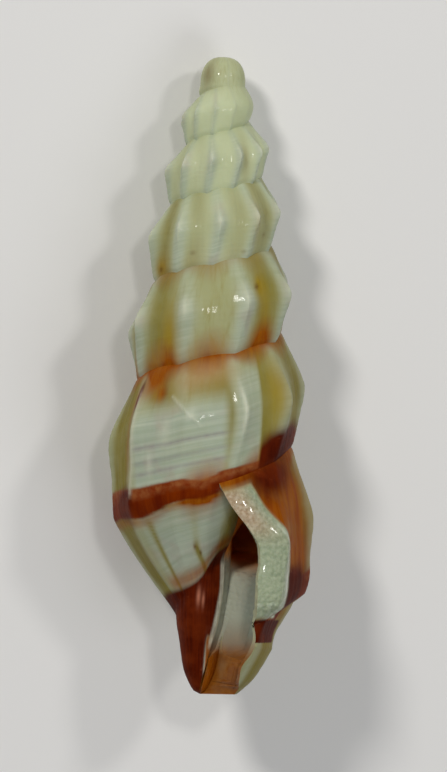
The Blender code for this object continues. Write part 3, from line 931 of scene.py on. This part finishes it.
def painted_highlight_mask(at):
    """Painted highlights: bright lines and points on the ribs' crests, the knobs, the lip's rim, the scar,
    the canal and the columella's edge.
    """
    count = rib_count(at.turn, at.place)
    line = bell(count, np.round(count), LINE_WIDTH) * within(at.turn, *LINE_TURNS)
    line = line * (1 - bell(count, LINE_SKIP, LINE_SKIP_WIDTH))
    front = fade(LINE_FRONT, at.turn)
    reach = LINE_FRONT_SHARE * front * bell(at.place, LINE_FRONT_AT, LINE_FRONT_REACH)
    shine = clip(line * (LINE_SIDE_SHARE * (1 - front) + reach)) * within(at.place, *LINE_PLACES)
    shine = np.maximum(shine, KNOB_HIGHLIGHT * knobs(at.turn, at.place) ** KNOB_HIGHLIGHT_BEND)
    rim_line = bell(at.behind, RIM_LINE_BACK, RIM_LINE_WIDTH) * fade(RIM_LINE_DEPTH, at.depth)
    shine = np.maximum(shine, RIM_LINE_SHARE * rim_line * at.lip)
    shine = np.maximum(shine, spots(at.turn, at.depth, CANAL_HIGHLIGHT))
    spot_highlights = spots(at.turn, at.place, HIGHLIGHT_SPOTS) + SCAR_HIGHLIGHT * scar(at.turn, at.place)
    shine = np.maximum(shine, clip(spot_highlights))
    from_edge = at.turn + 1 - smooth_curve(INNER_LIP, at.depth)
    columella = fade(COLUMELLA_WIDTH, from_edge) * within(at.depth, *COLUMELLA_DEPTHS)
    return np.maximum(shine, columella * (at.turn < COLUMELLA_END)) * at.outside


def olive_and_shade_mask(at):
    """Yellow-olive between the ribs and in the base's furrows, weaker on the spire's front and behind. It is
    strongest toward the sides of the view and over the last whorl's sides, where it is partly painted shade.
    """
    from_front = np.abs(at.turn - np.round(at.turn))
    facing = bell(from_front, 0, FACING_WIDTH) * fade(FACING_TURNS, at.turn)
    hidden = fade(HIDDEN_SIDE, from_front)
    olive = OLIVE_SHARE * at.gap * fade(OLIVE_TURNS, at.turn)
    olive = olive * (1 - at.panel) * (1 - at.broad) * (1 - FACING_LOSS * facing) * (1 - HIDDEN_LOSS * hidden)
    olive = olive + spots(at.turn, at.place, OLIVE_SPOTS) + FRINGE_SHARE * at.fringe
    # Painted shade: extra olive over the last whorl's sides.
    right = (1 - OLIVE_RIGHT_SHADE_LOSS * hidden) * (1 - OLIVE_RIGHT_SHADE_LOSS * at.ribs)
    olive = olive + OLIVE_RIGHT_SHADE * fade(OLIVE_RIGHT_SHADE_TURNS, at.turn) * right
    olive = olive + OLIVE_LEFT_SHADE * fade(OLIVE_LEFT_SHADE_TURNS, at.turn) * at.last
    olive = olive * (1 - OLIVE_BASE_LOSS * at.base) + FURROW_OLIVE * at.furrow
    return clip(olive) * (1 - at.lip)


def pink_mask(at):
    """Pinkish cream under the last suture, by the canal and on the lip's upper end."""
    on_lip = fade(PINK_LIP_DEPTH, at.depth) * fade(PINK_LIP_BACK, at.behind)
    return clip(spots(at.turn, at.place, PINK_SPOTS) + PINK_LIP * at.lip * on_lip)


def columella_light_mask(at):
    """Near-white paint on the columella's wall just inside the aperture: painted light that brightens a face
    lying in shade.
    """
    edge = EDGE_NEAR_SHARE * fade(EDGE_NEAR, at.back) + EDGE_FAR_SHARE * fade(EDGE_FAR, at.back)
    return edge * at.inside * fade(EDGE_RADIUS, at.radius) * within(at.depth, *EDGE_DEPTHS)


def colour_masks(at):
    veins = sum(bell(at.place, vein, VEIN_WIDTH) for vein in VEIN_PLACES)
    deep = np.maximum(fade(DEEP_BACK, at.back), fade(DEEP_DEPTH, at.depth))
    lining = np.maximum(at.inside, at.rim)
    spire = fade(SPIRE_TURNS, at.turn) * (1 - APEX_LOSS * fade(APEX_FADE, at.depth))
    return {
        "lip": at.lip,
        "band": band_mask(at),
        "band_low": fade(BAND_LOWER, at.across_band),
        "stain": stain_mask(at),
        "dark": dark_mask(at),
        "white": white_mask(at),
        "shine": painted_highlight_mask(at),
        "veins": clip(veins * at.panel),
        "olive": olive_and_shade_mask(at),
        "amber": clip(spots(at.turn, at.place, AMBER_SPOTS)) * at.outside,
        "pink": pink_mask(at),
        "fleck": clip(spots(at.turn, at.place, FLECKS)) * at.outside,
        "inside": lining,
        "rim": at.rim,
        "edge": columella_light_mask(at),
        "deep": at.inside * deep,
        "canal": lining * fade(CANAL_DEPTH, at.depth),
        "spire": spire * at.outside,
        "spiral": at.place,
    }


def paint(solid):
    """Stores the masks on the mesh, one number for each corner of each face."""
    mesh = solid.data
    loops = len(mesh.loops)
    found = {}
    for key in ("turn", "inside", "back", "rim"):
        values = np.zeros(loops, np.float32)
        mesh.attributes[key].data.foreach_get("value", values)
        found[key] = values.astype(float)
    place = np.zeros(len(mesh.vertices) * 3, np.float32)
    mesh.vertices.foreach_get("co", place)
    at = np.zeros(loops, np.int32)
    mesh.loops.foreach_get("vertex_index", at)
    place = place.reshape(-1, 3)[at].astype(float)
    radius = np.hypot(place[:, 0], place[:, 1])
    masks = colour_masks(Places(depth=-place[:, 2], radius=radius, **found))
    for key, values in masks.items():
        layer = mesh.attributes.new("mask_" + key, "FLOAT", "CORNER")
        layer.data.foreach_set("value", np.asarray(values, np.float32))


def lay_down(solid):
    """Turns the shell onto its back, as in the solid model, and flattens the spots that it rests on."""
    lying = Matrix.Rotation(-math.pi / 2, 4, "X")
    roll = Matrix.Rotation(math.radians(REST_ROLL), 4, "Y")
    pitch = Matrix.Rotation(math.radians(REST_PITCH), 4, "X")
    turned = pitch @ roll @ lying
    solid.data.transform(turned)
    place = np.zeros(len(solid.data.vertices) * 3, np.float32)
    solid.data.vertices.foreach_get("co", place)
    place = place.reshape(-1, 3)
    place[:, 2] = np.maximum(place[:, 2], REST_FLOOR)
    solid.data.vertices.foreach_set("co", place.ravel())
    shift = Matrix.Translation((REST_SHIFT[0], REST_SHIFT[1], -REST_FLOOR))
    whole = Matrix.Scale(MM, 4) @ shift
    solid.data.transform(whole)
    solid.data.update()
    return whole @ turned


# Materials


def srgb(red, green, blue):
    """Linear colour from 0 to 255 display values."""
    values = []
    for v in (red, green, blue):
        v = v / 255
        values.append(v / 12.92 if v <= 0.04045 else ((v + 0.055) / 1.055) ** 2.4)
    return tuple(values)


# Colours. A pair is mixed by a noise.
CREAM = (srgb(164, 168, 122), srgb(188, 190, 150))
CREAM_LINES = srgb(152, 146, 88)
SPIRE_CREAM = (srgb(178, 186, 142), srgb(210, 218, 182))
OLIVE = (srgb(106, 96, 6), srgb(144, 130, 42))
ENAMEL = (srgb(162, 174, 152), srgb(182, 190, 170))
WARM_ENAMEL = srgb(172, 166, 148)
VEIN = srgb(128, 112, 124)
PINK = (srgb(176, 122, 76), srgb(188, 158, 116))
ORANGE = (srgb(132, 56, 0), srgb(160, 92, 12))
AMBER = (srgb(144, 114, 8), srgb(168, 148, 52))
BAND_UPPER = (srgb(122, 44, 10), srgb(146, 84, 44))
BAND_FOOT = (srgb(96, 24, 0), srgb(126, 46, 0))
DARK = (srgb(62, 10, 0), srgb(92, 26, 0))
DARK_CLOUDS = srgb(110, 40, 8)
DARK_SPECKS = srgb(150, 80, 50)
FLECK = srgb(98, 62, 0)
# Near-white paint for the painted highlights.
PAINTED_HIGHLIGHT = srgb(216, 218, 196)
PINK_STREAK = srgb(176, 110, 84)
LIP = (srgb(148, 160, 130), srgb(168, 177, 148))
PINK_LIP_GRAINS = (srgb(168, 138, 108), srgb(200, 180, 154))
# Near-white paint for the painted highlights on the lip.
LIP_PAINTED_HIGHLIGHT = srgb(222, 224, 204)
PORCELAIN = (srgb(126, 128, 116), srgb(150, 160, 142))
RIM = srgb(176, 178, 144)
# Near-white for the painted light on the columella's shaded inner wall.
COLUMELLA_LIGHT = srgb(244, 240, 214)
CANAL = (srgb(108, 48, 2), srgb(158, 100, 34))
DEEP = srgb(232, 146, 54)
FLOOR_PAINT = (0.84, 0.83, 0.81)
FLOOR_ROUGHNESS = 0.7

# Noises: scale, detail, roughness and distortion. Two are stretched along the turn and the place on a whorl.
NOISE_ROUGHNESS = 0.55
CLOUDS = (2200.0, 3.0)
FINE = (9000.0, 4.0, 0.6)
CRUMBS = (24000.0, 2.0)
ROUGH = (30000.0, 2.0)
LINE_NOISE = (1.0, 4.0, 0.6, 0.4)
LINE_SCALE = (60.0, 2.5)
STREAK_NOISE = (1.0, 3.0, 0.6, 0.2)
STREAK_SCALE = (3.0, 26.0)
GRAINS = {"Scale": 16000.0, "Randomness": 0.7}
GRAIN_SIZE = 0.9
LINE_RANGE = (0.2, 0.8)
CREAM_LINE_RANGE = (0.4, 0.8)
STREAK_RANGE = (0.3, 0.75)
SPECK_RANGE = (0.3, 0.7)
WARM_RANGE = (0.5, 0.8)
DARK_CLOUD_RANGE = (0.45, 0.75)
DARK_SPECK_RANGE = (0.62, 0.8)
DARK_SPECK_SHARE = 0.5
DARK_EDGE = (0.10, 0.75)
BAND_SHAKE = 0.5
BAND_SOFTNESS = 0.35
STAIN_STRENGTH = 1.1
VEIN_STRENGTH = 0.42
HIGHLIGHT_STRENGTH = 0.7
SHAKE = {"olive": 1.0, "white": 0.7, "veins": 1.6, "pink": 0.8, "amber": 0.8, "stain": 1.0, "dark": 0.6}
SHAKE.update({"fleck": 0.3, "shine": 1.2, "rim": 0.3, "edge": 0.2, "canal": 0.8, "deep": 0.3})
LIP_HIGHLIGHT_SHAKE = 0.5
DARK_ROUGHNESS_SHAKE = 0.3

# Surface
ROUGHNESS = (0.20, 0.34)
DARK_ROUGHNESS = 0.08
SUBSURFACE = 0.12
COAT = 0.22
COAT_LOSS = 0.17
LIP_COAT = 0.6
SURFACE = {
    "Specular IOR Level": 0.03,
    "Subsurface Radius": (1.0, 0.7, 0.4),
    "Subsurface Scale": 0.00015,
    "Coat IOR": 1.4,
    "Coat Roughness": 0.08,
}
LINE_BUMP = 0.5
ROUGH_BUMP = 0.3
GRIT_BUMP = 2.6
BUMP_STRENGTH = 0.5
BUMP_DISTANCE = 0.000010


class Nodes:
    """Short names for building a node tree."""

    def __init__(self, material):
        material.use_nodes = True
        self.tree = material.node_tree
        self.shader = self.tree.nodes["Principled BSDF"]

    def plug(self, socket, value):
        if isinstance(value, bpy.types.NodeSocket):
            self.tree.links.new(value, socket)
        elif isinstance(value, tuple) and len(value) == 3 and socket.type == "RGBA":
            socket.default_value = (*value, 1)
        else:
            socket.default_value = value

    def new(self, kind, inputs=(), **options):
        node = self.tree.nodes.new(kind)
        for key, value in options.items():
            setattr(node, key, value)
        for key, value in dict(inputs).items():
            self.plug(node.inputs[key], value)
        return node

    def attribute(self, name):
        return self.new("ShaderNodeAttribute", attribute_name=name).outputs["Fac"]

    def math(self, operation, a, b, c=0.0, clamp=False):
        return self.new("ShaderNodeMath", {0: a, 1: b, 2: c}, operation=operation, use_clamp=clamp).outputs[0]

    def noise(self, vector, scale, detail, rough=NOISE_ROUGHNESS, distortion=0.0):
        node = self.new("ShaderNodeTexNoise", {"Vector": vector, "Scale": scale, "Detail": detail})
        self.plug(node.inputs["Roughness"], rough)
        self.plug(node.inputs["Distortion"], distortion)
        return node.outputs["Fac"]

    def ramp(self, value, low, high):
        inputs = {"Value": value, "From Min": low, "From Max": high}
        return self.new("ShaderNodeMapRange", inputs, interpolation_type="SMOOTHSTEP").outputs["Result"]

    def mix(self, factor, a, b):
        node = self.new("ShaderNodeMix", data_type="RGBA")
        self.plug(node.inputs["Factor"], factor)
        self.plug(node.inputs[6], a)
        self.plug(node.inputs[7], b)
        return node.outputs[2]

    def wound(self, turn, place, scale):
        """A vector that follows the turn and the place on a whorl."""
        across, down = scale
        inputs = {"X": self.math("MULTIPLY", turn, across), "Y": self.math("MULTIPLY", place, down)}
        return self.new("ShaderNodeCombineXYZ", inputs).outputs[0]


def shell_material():
    material = bpy.data.materials.new("shell_surface")
    n = Nodes(material)
    where = n.new("ShaderNodeTexCoord").outputs["Object"]
    turn = n.attribute("turn")
    place = n.attribute("mask_spiral")
    clouds = n.noise(where, *CLOUDS)
    fine = n.noise(where, *FINE)
    crumb = n.ramp(n.noise(where, *CRUMBS), *SPECK_RANGE)
    growth = n.noise(n.wound(turn, place, LINE_SCALE), *LINE_NOISE)
    streaks = n.noise(n.wound(turn, place, STREAK_SCALE), *STREAK_NOISE)
    lines = n.ramp(growth, *LINE_RANGE)
    grains = n.new("ShaderNodeTexVoronoi", {"Vector": where, **GRAINS}).outputs["Distance"]
    grit = n.math("SUBTRACT", 1.0, n.ramp(grains, 0.0, GRAIN_SIZE))
    mask = {}
    for name in ("lip", "band", "band_low", "stain", "dark", "inside", "spire"):
        mask[name] = n.attribute("mask_" + name)

    def tint(name, strength=1.0, source=clouds, shake=None):
        """A mask with a little unevenness."""
        uneven = n.math("MULTIPLY_ADD", n.math("SUBTRACT", source, 0.5), shake or SHAKE[name], 1.0)
        level = n.math("MULTIPLY", n.attribute("mask_" + name), uneven)
        return n.math("MULTIPLY", level, strength, clamp=True)

    colour = n.mix(clouds, *CREAM)
    colour = n.mix(n.ramp(growth, *CREAM_LINE_RANGE), colour, CREAM_LINES)
    colour = n.mix(mask["spire"], colour, n.mix(clouds, *SPIRE_CREAM))
    # The olive mask holds the shell's olive and painted shade on the sides.
    colour = n.mix(tint("olive"), colour, n.mix(growth, *OLIVE))
    enamel = n.mix(n.ramp(streaks, *STREAK_RANGE), *ENAMEL)
    enamel = n.mix(n.ramp(clouds, *WARM_RANGE), enamel, WARM_ENAMEL)
    colour = n.mix(tint("white"), colour, enamel)
    colour = n.mix(tint("veins", VEIN_STRENGTH, fine), colour, VEIN)
    colour = n.mix(tint("pink"), colour, n.mix(fine, *PINK))
    colour = n.mix(tint("amber"), colour, n.mix(growth, *AMBER))
    colour = n.mix(tint("stain", STAIN_STRENGTH), colour, n.mix(lines, *ORANGE))
    band = n.mix(mask["band_low"], n.mix(n.ramp(fine, *SPECK_RANGE), *BAND_UPPER), n.mix(lines, *BAND_FOOT))
    shaken = n.math("MULTIPLY_ADD", n.math("SUBTRACT", fine, 0.5), BAND_SHAKE, mask["band"])
    colour = n.mix(n.ramp(shaken, 0.5 - BAND_SOFTNESS, 0.5 + BAND_SOFTNESS), colour, band)
    dark = n.mix(lines, *DARK)
    dark = n.mix(n.ramp(clouds, *DARK_CLOUD_RANGE), dark, DARK_CLOUDS)
    dark = n.mix(n.math("MULTIPLY", n.ramp(fine, *DARK_SPECK_RANGE), DARK_SPECK_SHARE), dark, DARK_SPECKS)
    colour = n.mix(n.ramp(tint("dark"), *DARK_EDGE), colour, dark)
    colour = n.mix(tint("fleck"), colour, FLECK)
    # Painted highlights: near-white lines and spots on crests, knobs, scar, canal and columella.
    colour = n.mix(tint("shine", HIGHLIGHT_STRENGTH, fine), colour, PAINTED_HIGHLIGHT)
    colour = n.mix(n.math("MULTIPLY", tint("pink"), mask["dark"]), colour, PINK_STREAK)
    lip = n.mix(crumb, *LIP)
    lip = n.mix(tint("pink"), lip, n.mix(crumb, *PINK_LIP_GRAINS))
    # Painted highlights on the lip's grains and rim.
    lip = n.mix(tint("shine", shake=LIP_HIGHLIGHT_SHAKE), lip, LIP_PAINTED_HIGHLIGHT)
    colour = n.mix(mask["lip"], colour, lip)
    porcelain = n.mix(clouds, *PORCELAIN)
    porcelain = n.mix(tint("rim"), porcelain, RIM)
    # Painted light: the columella's shaded inner wall is brightened to near-white.
    porcelain = n.mix(tint("edge"), porcelain, COLUMELLA_LIGHT)
    porcelain = n.mix(tint("canal"), porcelain, n.mix(fine, *CANAL))
    porcelain = n.mix(tint("deep"), porcelain, DEEP)
    n.plug(n.shader.inputs["Base Color"], n.mix(mask["inside"], colour, porcelain))

    rough = n.math("MULTIPLY_ADD", fine, *ROUGHNESS)
    uneven = tint("dark", shake=DARK_ROUGHNESS_SHAKE)
    n.plug(n.shader.inputs["Roughness"], n.math("MULTIPLY_ADD", uneven, DARK_ROUGHNESS, rough))
    stained = n.math("MAXIMUM", mask["dark"], mask["band"])
    subsurface = n.math("MULTIPLY_ADD", stained, -SUBSURFACE, SUBSURFACE, clamp=True)
    n.plug(n.shader.inputs["Subsurface Weight"], subsurface)
    dull = n.math("MAXIMUM", stained, mask["stain"])
    coat = n.math("MULTIPLY_ADD", dull, -COAT_LOSS, COAT, clamp=True)
    n.plug(n.shader.inputs["Coat Weight"], n.math("MULTIPLY_ADD", mask["lip"], LIP_COAT, coat))
    for name, value in SURFACE.items():
        n.plug(n.shader.inputs[name], value)

    height = n.math("MULTIPLY_ADD", growth, LINE_BUMP, n.math("MULTIPLY", streaks, LINE_BUMP))
    height = n.math("MULTIPLY_ADD", n.noise(where, *ROUGH), ROUGH_BUMP, height)
    height = n.math("MULTIPLY_ADD", n.math("MULTIPLY", grit, mask["lip"]), GRIT_BUMP, height)
    bump = {"Height": height, "Strength": BUMP_STRENGTH, "Distance": BUMP_DISTANCE}
    n.plug(n.shader.inputs["Normal"], n.new("ShaderNodeBump", bump).outputs[0])
    return material


def floor_material():
    material = bpy.data.materials.new("floor_paint")
    n = Nodes(material)
    n.plug(n.shader.inputs["Base Color"], FLOOR_PAINT)
    n.plug(n.shader.inputs["Roughness"], FLOOR_ROUGHNESS)
    return material


# Stage, light and camera

FLOOR_HALF = 0.6
LAMPS = (
    # name, place, size, power, colour
    ("key", (-0.050, 0.052, 0.066), 0.016, 0.042, (1.0, 0.98, 0.95)),
    ("right", (0.046, 0.046, 0.070), 0.012, 0.014, (1.0, 0.99, 0.97)),
    ("front", (0.004, 0.034, 0.090), 0.010, 0.011, (1.0, 0.99, 0.97)),
    ("fill", (0.045, -0.040, 0.072), 0.05, 0.014, (0.97, 0.99, 1.0)),
)
WORLD_COLOUR = (0.90, 0.93, 1.0, 1)
WORLD_STRENGTH = 0.16
PIXEL = 0.011737
IMAGE_HEIGHT = 772
VIEW_LEAN = math.radians(2.184)
VIEW_CENTRE = (0.1424, 0.0, -3.859)
VIEW_DISTANCE = 0.12
SENSOR = 36.0
CLIP = (0.001, 10.0)
SHARP_ANGLE = math.radians(40)


def add_floor():
    mesh = bpy.data.meshes.new("floor")
    half = FLOOR_HALF
    corners = [(-half, -half, 0), (half, -half, 0), (half, half, 0), (-half, half, 0)]
    mesh.from_pydata(corners, [], [(0, 1, 2, 3)])
    floor = bpy.data.objects.new("floor", mesh)
    bpy.context.scene.collection.objects.link(floor)
    mesh.materials.append(floor_material())


def add_light(name, place, size, power, colour):
    light = bpy.data.lights.new(name, "AREA")
    light.shape = "DISK"
    light.size = size
    light.energy = power
    light.color = colour
    lamp = bpy.data.objects.new(name, light)
    lamp.location = place
    lamp.rotation_euler = (-Vector(place)).to_track_quat("-Z", "Y").to_euler()
    bpy.context.scene.collection.objects.link(lamp)


def add_world():
    world = bpy.data.worlds.new("studio")
    world.use_nodes = True
    background = world.node_tree.nodes["Background"]
    background.inputs["Color"].default_value = WORLD_COLOUR
    background.inputs["Strength"].default_value = WORLD_STRENGTH
    bpy.context.scene.world = world
    bpy.context.scene.view_settings.view_transform = "Standard"


def add_camera(to_row):
    """The camera looks at the aperture side, with the spire leaning a little to the right."""
    turn = to_row.to_3x3().normalized()
    right = turn @ Vector((math.cos(VIEW_LEAN), 0, math.sin(VIEW_LEAN)))
    back = turn @ Vector((0, -1, 0))
    up = back.cross(right)
    centre = to_row @ Vector(VIEW_CENTRE)
    data = bpy.data.cameras.new("camera")
    half = IMAGE_HEIGHT * PIXEL * MM / 2
    data.sensor_width = SENSOR
    data.lens = SENSOR / 2 * VIEW_DISTANCE / half
    data.clip_start, data.clip_end = CLIP
    camera = bpy.data.objects.new("camera", data)
    axes = Matrix((right, up, back)).transposed().to_4x4()
    camera.matrix_world = Matrix.Translation(centre + back * VIEW_DISTANCE) @ axes
    bpy.context.scene.collection.objects.link(camera)
    bpy.context.scene.camera = camera


def main():
    shell = shell_object()
    paint(shell)
    to_row = lay_down(shell)
    shell.data.shade_smooth()
    shell.data.set_sharp_from_angle(angle=SHARP_ANGLE)
    shell.data.materials.clear()
    shell.data.materials.append(shell_material())
    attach(shell, "root")
    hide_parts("shell")

    add_floor()
    for lamp in LAMPS:
        add_light(*lamp)
    add_world()
    add_camera(to_row)


main()
